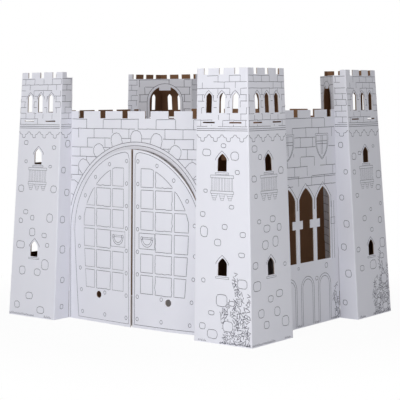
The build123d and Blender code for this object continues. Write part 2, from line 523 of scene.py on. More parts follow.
class Pen:
    """Collects a panel's strokes and clips them to what the panel leaves free."""

    STEP = 0.004
    LINE = 0.0011

    def __init__(self, width_at: Callable[[float], float], top: float, seed: int) -> None:
        """Starts with a bare panel.

        Args:
            width_at: Gives half the printed width at a height.
            top: Height that no line passes.
            seed: Seed of the hand's wobble.
        """
        self.width_at = width_at
        self.top = top
        self.luck = random.Random(seed)
        self.clear: list[Zone | Patch] = []
        self.strokes: list[tuple[Path, bool, float]] = []
        self.longest: float | None = None
        self.shape: Callable[[float, float], bool] | None = None

    def free(self, u: float, v: float) -> bool:
        """Whether ink may lie at a spot."""
        if self.shape is None:
            within = abs(u) <= self.width_at(v) - 0.0025 and v < self.top
        else:
            within = self.shape(u, v)
        return within and v > 0.003 and not any(zone.covers(u, v) for zone in self.clear)

    def draw(self, path: Path, closed: bool = False, weight: float = 1.0) -> None:
        """Draws a stroke where the panel is free.

        Args:
            path: Corners of the stroke.
            closed: Whether it returns to its start.
            weight: Thickness in ordinary lines.
        """
        route = [*path, path[0]] if closed else list(path)
        if closed and all(self.free(*spot) for spot in self.sampled(route)):
            self.strokes.append((list(path), True, weight))
            return
        run: Path = []
        for start, end in zip(route, route[1:]):
            for spot, is_corner in self.walk(start, end):
                if self.free(*spot):
                    if run and not is_corner and len(run) > 1 and self.straight(run[-2], run[-1], spot):
                        run[-1] = spot
                    else:
                        run.append(spot)
                else:
                    self.keep(run, weight)
                    run = []
        self.keep(run, weight)

    def keep(self, run: Path, weight: float) -> None:
        """Stores a run of free spots unless it is a mere speck."""
        if len(run) > 1 and math.dist(run[0], run[-1]) + len(run) * self.STEP > 2.5 * self.STEP:
            self.strokes.append((run, False, weight))

    def walk(self, start: Point, end: Point) -> list[tuple[Point, bool]]:
        """Spots from one corner to the next, with whether each is a corner."""
        length = math.dist(start, end)
        steps = max(1, math.ceil(length / self.STEP))
        spots = []
        for step in range(steps + 1):
            share = step / steps
            spot = (start[0] + (end[0] - start[0]) * share, start[1] + (end[1] - start[1]) * share)
            spots.append((spot, step == 0))
        return spots

    def sampled(self, route: Path) -> Path:
        """All spots along a route."""
        return [spot for start, end in zip(route, route[1:]) for spot, _ in self.walk(start, end)]

    @staticmethod
    def straight(first: Point, second: Point, third: Point) -> bool:
        """Whether three spots lie on one line."""
        near = (second[0] - first[0], second[1] - first[1])
        far = (third[0] - first[0], third[1] - first[1])
        return abs(near[0] * far[1] - near[1] * far[0]) < 1e-9

    def divided(self, path: Path, closed: bool) -> Path:
        """The path with its long stretches divided, for a sheet that bows."""
        if self.longest is None:
            return path
        route = [*path, path[0]] if closed else path
        spots = []
        for start, end in zip(route, route[1:]):
            steps = max(1, math.ceil(math.dist(start, end) / self.longest))
            run, climb = (end[0] - start[0]) / steps, (end[1] - start[1]) / steps
            spots += [(start[0] + run * step, start[1] + climb * step) for step in range(steps)]
        return spots if closed else [*spots, path[-1]]

    def mesh(self, name: str, place: Callable[[float, float, float], Vector]) -> bpy.types.Mesh | None:
        """Turns the strokes into flat ribbons on the sheet.

        Args:
            name: Name of the mesh.
            place: Gives the place in space of a spot and its lift.

        Returns:
            The mesh, or None where nothing was drawn.
        """
        if not self.strokes:
            return None
        curve = bpy.data.curves.new(name, "CURVE")
        curve.dimensions = "3D"
        curve.twist_mode = "Z_UP"
        curve.bevel_depth = self.LINE
        curve.bevel_resolution = 0
        curve.use_fill_caps = True
        for path, closed, weight in self.strokes:
            path = self.divided(path, closed)
            spline = curve.splines.new("POLY")
            spline.points.add(len(path) - 1)
            spline.use_cyclic_u = closed
            for knot, (u, v) in zip(spline.points, path):
                knot.co = (u, v, 0.0, 1.0)
                knot.radius = weight
        holder = bpy.data.objects.new(name, curve)
        bpy.context.collection.objects.link(holder)
        graph = bpy.context.evaluated_depsgraph_get()
        mesh = bpy.data.meshes.new_from_object(holder.evaluated_get(graph))
        bpy.data.objects.remove(holder)
        for vertex in mesh.vertices:
            lift = 0.00012 + 0.12 * vertex.co.z
            vertex.co = place(vertex.co.x, vertex.co.y, lift)
        return mesh


# --------------------------------------------------------------------------- motifs


class Motifs:
    """Drawn stonework and growth that the sheets share."""

    @staticmethod
    def bricks(pen: Pen, low: float, high: float, row: float, length: float, gap: float = 0.2,
               weight: float = 1.0) -> None:
        """Courses of bricks, with some lines left out and the rest a little uneven.

        Args:
            pen: Pen of the panel.
            low: Level under the lowest course.
            high: Level of the topmost line.
            row: Height of a course.
            length: Length of a brick.
            gap: Share of the lines that is left out.
            weight: Thickness in ordinary lines.
        """
        luck = pen.luck
        level = high
        number = 0
        while level > low:
            half = pen.width_at(level)
            shift = (number % 2) * length / 2.0 + luck.uniform(-0.1, 0.1) * length
            u = -half - length + shift
            while u < half:
                lean = luck.uniform(-0.0012, 0.0012)
                if luck.random() > gap:
                    pen.draw([(u, level + lean), (u + length * 1.02, level - lean)], weight=weight)
                joint = u + luck.uniform(-0.05, 0.05) * length
                if level - row > low and luck.random() > gap * 0.6:
                    pen.draw([(joint, level - 0.001), (joint + lean, level - row + 0.001)], weight=weight)
                u += length
            level -= row
            number += 1

    @staticmethod
    def stone(pen: Pen, u: float, v: float, width: float, height: float) -> None:
        """One rounded stone with an uneven outline.

        Args:
            pen: Pen of the panel.
            u: Middle, across.
            v: Middle, up.
            width: Width.
            height: Height.
        """
        luck = pen.luck
        path = []
        for step in range(14):
            turn = 2.0 * math.pi * step / 14
            squareness = 1.0 + 0.16 * math.sin(2.0 * turn) ** 2
            reach = squareness * luck.uniform(0.94, 1.06) / 2.0
            path.append((u + width * reach * math.cos(turn), v + height * reach * math.sin(turn)))
        pen.draw(path, closed=True)
        pen.clear.append(Patch(u, v, width * 0.56, height * 0.56))

    @staticmethod
    def leaves(pen: Pen, inside: Callable[[float, float], bool], box: tuple[float, float, float, float],
               pitch: float = 0.016) -> None:
        """Scribbled leaves that fill a region.

        Args:
            pen: Pen of the panel.
            inside: Whether a spot belongs to the region.
            box: Lowest and highest u, then lowest and highest v.
            pitch: Distance between leaves.
        """
        luck = pen.luck
        low_u, high_u, low_v, high_v = box
        v = low_v
        while v < high_v:
            u = low_u
            while u < high_u:
                spot = (u + luck.uniform(-0.4, 0.4) * pitch, v + luck.uniform(-0.4, 0.4) * pitch)
                if inside(*spot):
                    turn = luck.uniform(0.0, 2.0 * math.pi)
                    path = []
                    for step in range(5):
                        reach = pitch * (0.72 if step % 2 == 0 else 0.22)
                        angle = turn + step * math.pi / 2.7
                        path.append((spot[0] + reach * math.cos(angle), spot[1] + reach * math.sin(angle)))
                    pen.draw(path, weight=1.1)
                u += pitch
            v += pitch

    @staticmethod
    def grass(pen: Pen, start: float, end: float) -> None:
        """Short tufts along the foot of a panel."""
        u = start
        path = []
        while u < end:
            path.append((u, 0.005 + (0.011 if len(path) % 2 else 0.0) * pen.luck.uniform(0.2, 1.0)))
            u += pen.luck.uniform(0.001, 0.004)
        pen.draw(path, weight=1.1)

    @staticmethod
    def corbels(pen: Pen, top: float, depth: float, count: int, level_half: float) -> None:
        """Row of stepped corbels hanging from a belt.

        Args:
            pen: Pen of the panel.
            top: Level of the row's top.
            depth: Drop from the top to the corbels' feet.
            count: Number of corbels.
            level_half: Half the width that they share.
        """
        pitch = 2.0 * level_half / count
        rise = [(0.08, 0.0), (0.13, 0.22), (0.20, 0.38), (0.35, 0.46), (0.36, 0.90), (0.42, 1.0)]
        profile = [(0.0, 0.0), *rise, *((round(1.0 - share, 2), drop) for share, drop in reversed(rise))]
        path = []
        for number in range(count):
            start = -level_half + number * pitch
            path += [(start + share * pitch, top - drop * depth) for share, drop in profile]
        path.append((level_half, top))
        pen.draw(path)

    @staticmethod
    def balcony(pen: Pen, top: float, width: float) -> None:
        """Small balcony under a window: two rails, plain balusters and stepped corbels.

        Args:
            pen: Pen of the panel.
            top: Level of the upper rail's top.
            width: Width of the rails.
        """
        thick, drop, bars, step_down = 0.011, 0.066, 7, 0.009
        for level in (top, top - drop):
            pen.draw(box_path(0.0, level - thick, width, thick), closed=True)
        for bar in range(bars):
            u = (bar + 0.5) * width / bars - width / 2.0
            pen.draw(box_path(u, top - drop, 0.007, drop - thick), closed=True, weight=0.8)
        foot = top - drop - thick
        for place in (-1, 0, 1):
            for step in range(3):
                pen.draw(box_path(place * width * 0.34, foot - (step + 1) * step_down, 0.030 - 0.008 * step,
                                  step_down), closed=True, weight=0.8)
        low = foot - 3.0 * step_down - 0.006
        pen.clear.append(Zone(0.0, low, width * 1.08, top - low + 0.004))

    @staticmethod
    def scatter(pen: Pen, count: int, high: float) -> None:
        """Stones spread over a panel, apart from each other and from what is drawn.

        Args:
            pen: Pen of the panel.
            count: Most stones that are drawn.
            high: Level that none lies above.
        """
        placed: Path = []
        for _ in range(20 * count):
            v = pen.luck.uniform(0.03, high)
            u = pen.luck.uniform(-1.0, 1.0) * (pen.width_at(v) - 0.03)
            size = pen.luck.uniform(0.014, 0.040) * (1.4 - 0.5 * v / high)
            corners = [(u + a * size, v + b * size) for a in (-0.7, 0.7) for b in (-0.7, 0.7)]
            apart = all(math.dist((u, v), other) > 0.040 + size / 2.0 for other in placed)
            if len(placed) < count and apart and all(pen.free(*spot) for spot in corners):
                placed.append((u, v))
                width = size * pen.luck.uniform(0.9, 1.3)
                Motifs.stone(pen, u, v, width, size * pen.luck.uniform(0.75, 1.05))

    @staticmethod
    def vines(pen: Pen, stems: Sequence[Point], reach: float = 0.034) -> None:
        """Ivy on stems that sway as they climb and thin out towards their tips.

        Args:
            pen: Pen of the panel.
            stems: Place and height of each stem, the place as a share of half the foot's width.
            reach: Half the width of the leaves at a stem's foot.
        """
        half = pen.width_at(0.0)
        sway, turns = 0.3 * reach, 40.0

        def inside(u: float, v: float) -> bool:
            """Whether a spot lies among the leaves of a stem."""
            across = u - sway * math.sin(turns * v)
            return any(abs(across - share * half) < reach * math.sqrt(1.0 - v / height)
                       for share, height in stems if v < height)

        Motifs.leaves(pen, inside, (-half, half, 0.004, max(height for _, height in stems)))


class Growth(Enum):
    """What grows up the foot of an outer panel: place and height of each stem."""

    BARE = ()
    IVY = ((0.15, 0.19), (0.52, 0.31), (0.86, 0.24))


@dataclass
class Tower:
    """Print of one corner tower."""

    castle: Castle
    name: str
    sign_x: int
    sign_y: int
    seed: int
    long: Growth = Growth.BARE
    side: Growth = Growth.BARE
    belt: float = 0.900
    lancet: tuple[float, float, float] = (0.965, 0.030, 0.084)
    lancet_places: tuple[float, ...] = (-0.255, 0.0, 0.255)
    slot: tuple[float, float, float] = (0.925, 0.063, 0.006)
    slot_margin: float = 0.035
    window: tuple[float, float] = (0.047, 0.074)
    upper_sill: float = 0.722
    lower_sill: float = 0.287
    notch_floor: float = 1.125
    arch: tuple[float, float, float] = (0.760, 0.160, 0.328)
    course: float = 0.0265
    brick: float = 0.058
    balcony: float = 0.120
    stones: int = 20
    strip_stones: int = 7

    def pen(self, face: Face, number: int) -> Pen:
        """Pen for one of the tower's panels."""
        return Pen(face.half, self.notch_floor - 0.002, self.seed * 10 + number)

    def head(self, pen: Pen, scallops: int) -> None:
        """Belt, corbels and brickwork at the top of any panel."""
        half = pen.width_at(self.belt)
        pen.draw([(-half, self.belt), (half, self.belt)])
        pen.draw([(-half, self.belt - 0.008), (half, self.belt - 0.008)])
        Motifs.corbels(pen, self.belt - 0.026, 0.027, scallops, pen.width_at(self.belt - 0.026))
        Motifs.bricks(pen, self.belt, self.notch_floor - 0.004, self.course, self.brick, 0.26, 0.8)

    def outer(self, face: Face, number: int, growth: Growth) -> Pen:
        """Print of one of the two outer panels.

        Args:
            face: The panel.
            number: The panel's number, for its seed.
            growth: What climbs it.

        Returns:
            The pen with the panel's strokes.
        """
        pen = self.pen(face, number)
        sill, width, height = self.lancet
        for place in self.lancet_places:
            u = place * 2.0 * pen.width_at(sill)
            pen.clear.append(Zone(u, sill - 0.004, width + 0.008, height + 0.010, head=Head.POINTED))
            pen.draw(self.hood(u, sill + height * 0.74, width + 0.016, height * 0.26 + 0.011), weight=0.9)
            pen.clear.append(Zone(u, sill - 0.006, width + 0.018, height + 0.020, head=Head.POINTED))
        level, length, rise = self.slot
        for side in (-1, 1):
            u = side * (pen.width_at(level) - self.slot_margin - length / 2.0)
            pen.clear.append(Zone(u, level - rise, length + 0.008, 2.0 * rise))
        width, height = self.window
        for sill in (self.upper_sill, self.lower_sill):
            pen.clear.append(Zone(0.0, sill - 0.003, width + 0.006, height + 0.006, head=Head.POINTED))
            pen.draw(self.hood(0.0, sill + height * 0.62, width + 0.018, height * 0.38 + 0.012))
            pen.draw(box_path(0.0, sill - 0.012, width + 0.022, 0.007), closed=True)
            pen.clear.append(Zone(0.0, sill - 0.014, width + 0.026, height + 0.034, head=Head.POINTED))
        Motifs.balcony(pen, self.upper_sill - 0.016, self.balcony)
        Motifs.scatter(pen, self.stones, 0.83)
        if growth is not Growth.BARE:
            Motifs.vines(pen, growth.value)
        half = pen.width_at(0.0)
        Motifs.grass(pen, -half * 0.85, -half * 0.55)
        Motifs.grass(pen, -half * 0.10, half * 0.97)
        self.head(pen, 4)
        return pen

    @staticmethod
    def hood(u: float, v: float, width: float, height: float) -> Path:
        """Open pointed line over a light."""
        half = width / 2.0
        spring = v + height - half
        return [(u - half, v), (u - half, spring), (u - half * 0.52, spring + half * 0.56), (u, v + height),
                (u + half * 0.52, spring + half * 0.56), (u + half, spring), (u + half, v)]

    def strip(self, face: Face, number: int) -> Pen:
        """Print of one of the two short strips: a line of stones."""
        pen = self.pen(face, number)
        for place in range(self.strip_stones):
            v = 0.075 + 0.125 * place + pen.luck.uniform(-0.02, 0.02)
            size = pen.luck.uniform(0.018, 0.034)
            Motifs.stone(pen, pen.luck.uniform(-0.35, 0.35) * pen.width_at(v), v, size, size * 1.1)
        self.head(pen, 1)
        return pen

    def yard(self, face: Face, number: int) -> Pen:
        """Print of the panel towards the yard: brickwork round the arch."""
        pen = self.pen(face, number)
        sill, width, height = self.arch
        pen.clear.append(Zone(0.0, sill - 0.003, width + 0.008, height + 0.004, head=Head.ROUND))
        spring = sill + height - width / 2.0
        radius = width / 2.0 + 0.013
        pen.draw([(radius, sill), *arc(0.0, spring, radius, 0.0, 180.0, 16), (-radius, sill)])
        pen.clear.append(Zone(0.0, sill - 0.003, 2.0 * radius, height + 0.014, head=Head.ROUND))
        Motifs.bricks(pen, 0.0, self.notch_floor - 0.004, 0.038, 0.078)
        return pen

    def build(self) -> list[bpy.types.Mesh]:
        """Draws every panel.

        Returns:
            The ribbons of each panel.
        """
        faces = tower_faces(self.castle, self.sign_x, self.sign_y)
        pens = {
            "long": self.outer(faces["long"], 1, self.long),
            "side": self.outer(faces["side"], 2, self.side),
            "strip_long": self.strip(faces["strip_long"], 3),
            "strip_side": self.strip(faces["strip_side"], 4),
            "yard": self.yard(faces["yard"], 5),
        }
        return [pen.mesh(f"{self.name}_{key}", faces[key].point) for key, pen in pens.items()]


@dataclass
class PlainWall:
    """Print of the back wall's outside: brickwork and grass along its foot."""

    castle: Castle
    name: str
    along_x: bool
    sign: int
    seed: int
    notch_floor: float = 0.937
    course: float = 0.043
    brick: float = 0.105

    def pen(self) -> tuple[Face, Pen]:
        """The wall's outer panel and a pen for it."""
        face = wall_face(self.castle, self.along_x, self.sign)
        return face, Pen(face.half, self.notch_floor - 0.002, self.seed)

    def courses(self, pen: Pen, low: float) -> None:
        """Brickwork from a level to the battlements."""
        Motifs.bricks(pen, low, self.notch_floor - 0.004, self.course, self.brick)

    def build(self) -> list[bpy.types.Mesh]:
        """Draws the wall."""
        face, pen = self.pen()
        half = pen.width_at(0.0)
        Motifs.grass(pen, -half * 0.9, half * 0.9)
        self.courses(pen, 0.03)
        return [pen.mesh(self.name, face.point)]


@dataclass
class SideWall(PlainWall):
    """Print of a side wall: shields, three lights with columns, blind arches and ivy."""

    pane: tuple[float, float, float] = (0.289, 0.109, 0.334)
    pitch: float = 0.139
    capital: tuple[float, float, float] = (0.459, 0.081, 0.037)
    shield: tuple[float, float] = (0.105, 0.862)
    niche: tuple[float, float] = (0.104, 0.225)
    stems: tuple[Point, ...] = ((-0.84, 0.27), (0.90, 0.17))

    def lights(self, pen: Pen) -> None:
        """Mouldings and columns round the three lights."""
        sill, width, height = self.pane
        for place in (-1, 0, 1):
            u = place * self.pitch
            pen.clear.append(Zone(u, sill - 0.004, width + 0.006, height + 0.008, head=Head.POINTED))
        level, cap_width, cap_height = self.capital
        for place in (-0.5, 0.5):
            u = place * self.pitch
            pen.clear.append(Zone(u, level - cap_height / 2.0, cap_width, cap_height))
        for place in (-1, 0, 1):
            u = place * self.pitch
            pen.draw(Tower.hood(u, sill + height * 0.70, width + 0.026, height * 0.30 + 0.020))
        edge = 1.5 * self.pitch - 0.003
        for side in (-1, 1):
            for off in (0.004, 0.024):
                pen.draw([(side * (edge + off), sill - 0.004), (side * (edge + off), sill + 0.262)])
            pen.draw(box_path(side * (edge + 0.014), level - 0.014, 0.034, 0.030), closed=True)
        half = pen.width_at(0.68)
        pen.draw([(-half * 0.97, 0.668), (half * 0.97, 0.668)])
        pen.clear.append(Zone(0.0, sill - 0.010, 2.0 * edge + 0.062, 0.350))

    def shields(self, pen: Pen) -> None:
        """Pair of plain shields with an upright cross, one over each outer light."""
        width, top = self.shield
        height = width * (0.25 + math.sin(math.pi / 3.0))
        for place in (-1, 1):
            middle = place * self.pitch
            for margin in (0.0, 0.008):
                wide, high = width - 2.0 * margin, top - margin
                start, spring = middle - wide / 2.0, high - width / 4.0
                turns = [math.pi / 18.0 * step for step in range(7)]
                right = [(start + wide * math.cos(turn), spring - wide * math.sin(turn)) for turn in turns]
                left = [(2.0 * middle - u, v) for u, v in reversed(right[:-1])]
                pen.draw([(start, high), (start + wide, high), *right, *left], closed=True)
            for off in (-0.006, 0.006):
                pen.draw([(middle + off, top - 0.008), (middle + off, top - height + 0.024)])
                level = top - 0.040 + off
                pen.draw([(middle - width / 2.0 + 0.010, level), (middle + width / 2.0 - 0.010, level)])
            pen.clear.append(Zone(middle, top - 0.6 * width, width, 0.6 * width))
            pen.clear.append(Patch(middle, top - 0.6 * width, 0.5 * width, height - 0.6 * width))

    def arcade(self, pen: Pen) -> None:
        """Blind round arches under the lights."""
        width, height = self.niche
        for place in (-1, 0, 1):
            u = place * self.pitch
            for radius in (width / 2.0, width / 2.0 - 0.012):
                pen.draw([(u + radius, 0.006), *arc(u, height - width / 2.0, radius, 0.0, 180.0),
                          (u - radius, 0.006)])
            pen.clear.append(Zone(u, 0.0, width, height, head=Head.ROUND))

    def build(self) -> list[bpy.types.Mesh]:
        """Draws the wall."""
        face, pen = self.pen()
        self.lights(pen)
        self.shields(pen)
        self.arcade(pen)
        Motifs.scatter(pen, 6, 0.27)
        Motifs.vines(pen, self.stems)
        half = pen.width_at(0.0)
        Motifs.grass(pen, -half * 0.8, half * 0.8)
        self.courses(pen, 0.628)
        return [pen.mesh(self.name, face.point)]


@dataclass
class FrontWall(PlainWall):
    """Print of the front wall: brickwork, ring of stones, mouldings and both door leaves."""

    radius: float = 0.388
    spring: float = 0.412
    crease: float = 0.388
    left_ajar: float = 4.5
    right_bend: float = 8.0
    bend_run: float = 0.110
    bend_radius: float = 0.700
    leaf_gap: float = 0.010
    foot_taper: float = 0.030
    border: float = 0.011
    grid_margin: float = 0.067
    grid_start: float = 0.049
    column_width: float = 0.072
    middle_width: float = 0.093
    panel_gap: float = 0.013
    row_start: float = 0.158
    row_pitch: float = 0.095
    row_count: int = 6
    handle_row: int = 2
    stud_inset: float = 0.040
    stud_pitch: float = 0.101
    stud_turn: float = 18.5
    hole: tuple[float, float, float] = (0.178, 0.129, 0.016)
    mouldings: tuple[float, float] = (0.404, 0.420)
    stone_width: float = 0.064
    stone_gap: float = 0.050

    def left_place(self, face: Face) -> Callable[[float, float, float], Vector]:
        """Placing rule for the straight left leaf."""
        turn = math.radians(self.left_ajar)

        def place(u: float, v: float, lift: float) -> Vector:
            """Place in space of a spot on the leaf."""
            reach = u + self.crease
            up = lift + self.castle.board / 2.0
            across = reach * math.cos(turn) - up * math.sin(turn)
            out = reach * math.sin(turn) + up * math.cos(turn)
            return face.point(-self.crease + across, v, out - self.castle.board / 2.0)

        return place

    def right_place(self, face: Face) -> Callable[[float, float, float], Vector]:
        """Placing rule for the bowed right leaf."""
        bend = math.radians(self.right_bend)
        first = self.bend_run * math.cos(bend)
        rise = self.bend_run * math.sin(bend)

        def height(reach: float) -> tuple[float, float]:
            """How far the leaf stands out, and its slope, at a distance from the crease."""
            if reach <= first:
                return reach * math.tan(bend), bend
            sine = math.sin(bend) - (reach - first) / self.bend_radius
            turn = math.asin(max(0.0, sine))
            return rise + self.bend_radius * (math.cos(turn) - math.cos(bend)), turn

        def place(u: float, v: float, lift: float) -> Vector:
            """Place in space of a spot on the leaf."""
            reach = self.crease - u
            out, turn = height(reach)
            up = lift + self.castle.board / 2.0
            across = reach - up * math.sin(turn)
            return face.point(self.crease - across, v, out + up * math.cos(turn) - self.castle.board / 2.0)

        return place

    def taper(self, v: float) -> float:
        """How much narrower the print of a leaf gets towards its foot."""
        return self.foot_taper * max(0.0, 1.0 - v / self.spring) ** 1.2

    def leaf(self, side: int) -> Pen:
        """Print of one leaf; side is -1 for the left one."""
        limit = self.radius - 0.003

        def on_leaf(u: float, v: float) -> bool:
            """Whether a spot lies on the leaf."""
            reach = math.dist((u, v), (0.0, self.spring)) if v > self.spring else side * u
            return side * u > self.leaf_gap and reach < limit

        pen = Pen(lambda v: self.radius, self.spring + self.radius, self.seed + 5 + side)
        pen.shape = on_leaf
        pen.longest = 0.010 if side > 0 else None
        inset, level, size = self.hole
        pen.clear.append(Patch(side * (self.crease - inset), level, size + 0.002, size + 0.002))
        edge, near = self.radius - self.border, self.leaf_gap + 0.004
        crown = self.spring + edge
        outline = [(near, near), (near, crown - 0.030), (near + 0.008, crown - 0.009)]
        turns = [math.radians(turn) for turn in range(6, 91, 4)]
        outline += [(edge * math.sin(turn), self.spring + edge * math.cos(turn)) for turn in turns]
        outline += [(edge - self.taper(v), v) for v in [0.350 - 0.056 * step for step in range(7)]]
        pen.draw([(side * u, v) for u, v in outline], closed=True)
        self.panels(pen, side)
        self.studs(pen, side)
        return pen

    def columns(self) -> Path:
        """Near and far edge of each column of panels; the middle one is the widest."""
        edges = []
        near = self.grid_start
        for width in (self.column_width, self.middle_width, self.column_width):
            edges.append((near, near + width))
            near += width + self.panel_gap
        return edges

    def panels(self, pen: Pen, side: int) -> None:
        """Grid of panels that follows the round head, those of the middle column worn uneven."""
        for column, (near, far) in enumerate(self.columns()):
            for row in range(self.row_count):
                low = self.row_start + row * self.row_pitch
                high = low + self.row_pitch - self.panel_gap
                if (column, row) == (0, self.handle_row):
                    self.handle(pen, side * (near + far) / 2.0, far - near, low, high)
                    continue
                path = self.panel(near, far, low, high)
                if column == 1 and path:
                    path = self.weathered(pen, path)
                if column == 2:
                    path = [(u - self.taper(v) * (u - near) / (far - near), v) for u, v in path]
                if path:
                    pen.draw([(side * u, v) for u, v in path], closed=True)

    def panel(self, near: float, far: float, low: float, high: float) -> Path:
        """Outline of one panel, cut back to the round head; empty where too little is left."""
        limit = self.radius - self.grid_margin
        steps = 6
        top = []
        for step in range(steps + 1):
            u = near + (far - near) * step / steps
            top.append((u, min(high, self.spring + math.sqrt(max(0.0, limit * limit - u * u)))))
        if top[0][1] < low + 0.020:
            return []
        kept = [spot for spot in top if spot[1] > low + 0.004]
        if len(kept) == len(top):
            return [(near, low), *kept, (far, low)]
        reach = math.sqrt(max(0.0, limit * limit - (low - self.spring) ** 2))
        return [(near, low), *kept, (min(far, reach), low + 0.001)]

    @staticmethod
    def weathered(pen: Pen, path: Path) -> Path:
        """The outline of a panel whose wood has worn uneven."""
        spots = []
        for start, end in zip(path, [*path[1:], path[0]]):
            steps = max(1, round(math.dist(start, end) / 0.014))
            for step in range(steps):
                share = step / steps
                wobble = 0.0 if step == 0 else 0.0022
                spots.append((start[0] + (end[0] - start[0]) * share + pen.luck.uniform(-wobble, wobble),
                              start[1] + (end[1] - start[1]) * share + pen.luck.uniform(-wobble, wobble)))
        return spots

    @staticmethod
    def handle(pen: Pen, u: float, width: float, low: float, high: float) -> None:
        """Plate with a ring pull."""
        pen.draw(box_path(u, low + 0.010, width + 0.020, high - low - 0.012), closed=True)
        v = (low + high) / 2.0 + 0.014
        pen.draw(box_path(u, v, 0.052, 0.007), closed=True, weight=0.9)
        for half, drop in ((0.034, 0.036), (0.025, 0.026)):
            pen.draw([(u + half * math.cos(turn), v - drop * math.sin(turn))
                      for turn in [math.pi * step / 10.0 for step in range(11)]])
        for end in (-1, 1):
            pen.draw(ring(u + end * 0.030, v + 0.003, 0.006, 0.007, 8), closed=True, weight=0.9)

    def studs(self, pen: Pen, side: int) -> None:
        """Round nail heads along the leaf's edges and on its bottom rail."""
        reach = self.radius - self.stud_inset
        levels = [self.stud_inset + self.stud_pitch * number for number in range(8)]
        turns = [math.radians(24.0 + self.stud_turn * number) for number in range(4)]
        spots = [(0.030, v) for v in levels]
        spots += [(reach * math.sin(turn), self.spring + reach * math.cos(turn)) for turn in turns]
        spots += [(reach - self.taper(v), v) for v in levels[:4]]
        spots += [(0.170, v) for v in levels[:2]]
        for u, v in spots:
            pen.draw(ring(side * u, v, 0.0075, 0.0085, 8), closed=True)

    def voussoirs(self, pen: Pen) -> None:
        """Mouldings round the doorway and the rounded stones outside them."""
        outer = self.mouldings[-1]
        for radius in self.mouldings:
            pen.draw([(radius, 0.004), *arc(0.0, self.spring, radius, 0.0, 180.0, 48), (-radius, 0.004)],
                     weight=1.1)
        pen.clear.append(Zone(0.0, 0.0, 2.0 * outer, self.spring + outer, head=Head.ROUND))
        half = self.stone_width / 2.0
        for number in range(-4, 5):
            turn = number * (self.stone_width + self.stone_gap) / outer
            cosine, sine = math.cos(turn), math.sin(turn)
            height = 0.051 + (0.004 if number % 2 else 0.0)
            side = [(half, 0.0), (half, height * 0.55), (half * 0.7, height * 0.88), (half * 0.25, height)]
            shape = [(-along, out) for along, out in side] + side[::-1]
            pen.draw([(along * cosine + (outer + out) * sine,
                       self.spring + (outer + out) * cosine - along * sine) for along, out in shape])
            middle = outer + height / 2.0
            pen.clear.append(Patch(middle * sine, self.spring + middle * cosine, 0.033, 0.033))

    def build(self) -> list[bpy.types.Mesh]:
        """Draws the wall and both leaves."""
        face, pen = self.pen()
        pen.clear.append(Zone(0.0, 0.0, 2.0 * self.radius, self.spring + self.radius, head=Head.ROUND))
        self.voussoirs(pen)
        self.courses(pen, 0.02)
        left, right = self.leaf(-1), self.leaf(1)
        return [pen.mesh(self.name, face.point), left.mesh(f"{self.name}_left", self.left_place(face)),
                right.mesh(f"{self.name}_right", self.right_place(face))]


# --------------------------------------------------------------------------- finishes


@dataclass(frozen=True)
class Board:
    """Corrugated board: white print outside, bare brown inside, fluted cut edges with painted shade in the
    flute channels.
    """

    print_colour: Colour = (0.800, 0.803, 0.868, 1.0)
    print_shade: Colour = (0.740, 0.745, 0.815, 1.0)
    kraft: Colour = (0.300, 0.160, 0.085, 1.0)
    kraft_dark: Colour = (0.205, 0.105, 0.055, 1.0)
    edge_light: Colour = (0.560, 0.480, 0.400, 1.0)
    # Painted shade of the hollow channels between the flutes on a cut edge.
    edge_hollow_shade: Colour = (0.180, 0.105, 0.060, 1.0)
    flute: float = 0.0075

    def material(self, name: str, printed: Callable[[Graph], tuple[Wire, Wire]]) -> bpy.types.Material:
        """Builds the board's material.

        Args:
            name: Name of the material.
            printed: Gives the mask of the printed side and the mask of the bare side.

        Returns:
            The material.
        """
        graph = Graph.of_material(name)
        outside, inside = printed(graph)
        x, y, z = graph.parts(graph.place())
        along = x + y
        flutes = along.wave(self.flute)
        cloud = graph.noise(7.0, 3.0)
        grain = graph.noise(900.0, 2.0)
        fibre = graph.noise(260.0, 3.0, (1.0, 1.0, 0.22))
        white = graph.mix((cloud - 0.35) * 0.7 + grain * 0.12, self.print_colour, self.print_shade)
        brown = graph.mix(fibre * 0.75 + flutes * 0.16 + cloud * 0.2 - 0.12, self.kraft, self.kraft_dark)
        # Cut edge: light flute paper, striped with painted shade in the hollow channels between the flutes,
        # plus some grain.
        hollow_shade_mask = (z + along).wave(self.flute * 0.5)
        cut = graph.mix(hollow_shade_mask * 0.7 + grain * 0.3, self.edge_light, self.edge_hollow_shade)
        colour = graph.mix(outside, graph.mix(inside, cut, brown), white)
        roughness = 0.82 - outside * 0.26 + grain * 0.06
        relief = flutes * 0.25 + grain * 0.08 + fibre * inside * 0.5
        return graph.finish(colour, roughness, relief, 0.00035)


